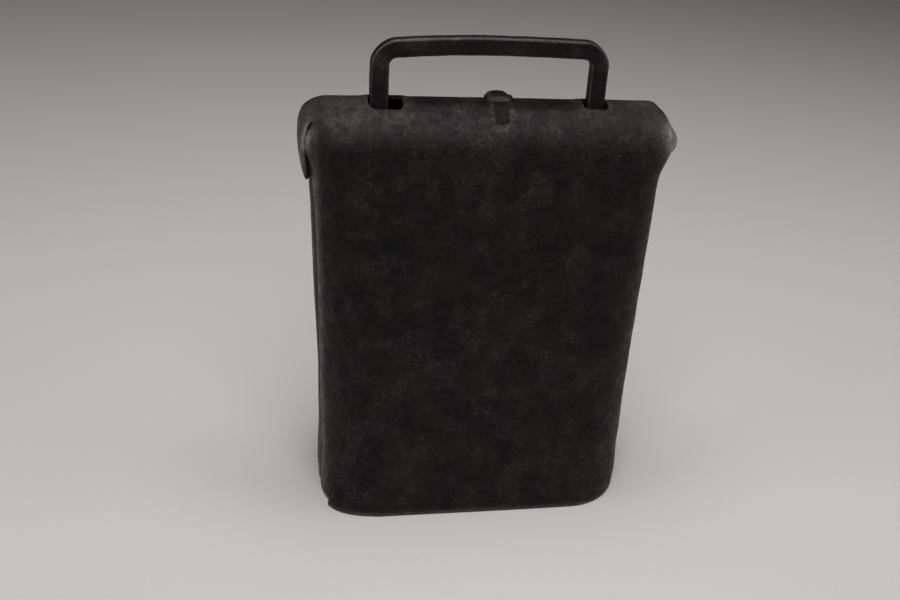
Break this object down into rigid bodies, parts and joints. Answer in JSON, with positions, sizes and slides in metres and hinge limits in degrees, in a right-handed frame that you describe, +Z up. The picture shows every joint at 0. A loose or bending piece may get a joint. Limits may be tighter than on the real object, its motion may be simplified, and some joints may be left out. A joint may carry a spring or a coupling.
{
  "type": "cowbell",
  "caption": "Hand-forged sheet-iron cowbell: flattened flaring body with a folded crown and side ears, a forged bail on top and a clapper hanging inside.",
  "frame": {"origin": "centre of the bounding box in X and Y, on the plane of the mouth rim that the bell stands on", "axes": "+X to the right across the wide face, +Y from the front face to the back face, +Z up from the mouth to the bail"},
  "size_m": [0.1206, 0.056, 0.1579],
  "materials": {
    "shell_patina_iron": "dark brown-black patina on hammered wrought sheet iron, burnished at edges and ears",
    "bail_forged_iron": "smooth black forge scale, rubbed by the strap",
    "staple_forged_iron": "dark forge scale with dust in the corners",
    "link_iron_wire": "dark iron wire, worn where it bears",
    "clapper_forged_iron": "dark forged iron, burnished where it strikes"
  },
  "bodies": {
    "bell": {"shell": "shell_patina_iron", "clapper_staple": "staple_forged_iron"},
    "bail": {"bail": "bail_forged_iron"},
    "link": {"clapper_link": "link_iron_wire"},
    "clapper": {"clapper": "clapper_forged_iron"}
  },
  "joints": [
    {"name": "bail_rock", "type": "hinge", "parent": "bell", "child": "bail", "pos_m": [-0.0015, 0, 0.136], "axis": [1, 0, 0], "range_deg": [-18, 18]},
    {"name": "link_swing", "type": "hinge", "parent": "bell", "child": "link", "pos_m": [0.0016, 0, 0.117], "axis": [0, 1, 0], "range_deg": [-22, 22]},
    {"name": "clapper_swing", "type": "hinge", "parent": "link", "child": "clapper", "pos_m": [0.0016, 0, 0.1035], "axis": [1, 0, 0], "range_deg": [-8, 8]}
  ]
}
